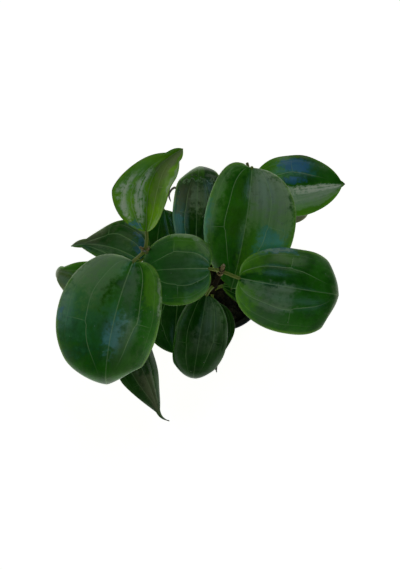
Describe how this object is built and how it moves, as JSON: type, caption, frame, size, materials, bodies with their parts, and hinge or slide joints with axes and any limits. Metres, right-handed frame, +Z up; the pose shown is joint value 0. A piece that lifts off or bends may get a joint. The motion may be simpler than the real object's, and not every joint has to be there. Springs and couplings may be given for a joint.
{
  "type": "potted climbing plant",
  "caption": "Small climbing plant with thick oval leaves on short stalks and thin stems, rooted in bark soil in a round tapered nursery pot.",
  "frame": {"origin": "centre of the pot's underside, on the surface that the pot stands on", "axes": "+Z up; +X to the right and +Y to the back of the plant as the picture looks down on it"},
  "size_m": [0.3007, 0.2716, 0.2373],
  "materials": {
    "pot": "satin black",
    "soil": "rough, chunky bark mix",
    "stem": "smooth, slightly woody",
    "leaf": "waxy, semi gloss",
    "young_leaf": "waxy, semi gloss"
  },
  "bodies": {
    "root": {"pot": "pot", "soil": "soil", "stem_middle": "stem", "stem_left": "stem", "stem_trailing": "stem", "stem_back": "stem", "stem_short": "stem", "leaf_big_front_left": "leaf", "leaf_young_back_left": "young_leaf", "leaf_far_left": "leaf", "leaf_low_left": "leaf", "leaf_hanging_front": "leaf", "leaf_round_middle": "leaf", "leaf_right": "leaf", "leaf_front": "leaf", "leaf_low_front": "leaf", "leaf_small_right": "leaf", "leaf_low_front_left": "leaf", "leaf_low_back_left": "leaf", "leaf_back_middle": "leaf", "leaf_big_back": "leaf", "leaf_back_right": "leaf", "leaf_low_back_right": "leaf"}
  },
  "joints": []
}
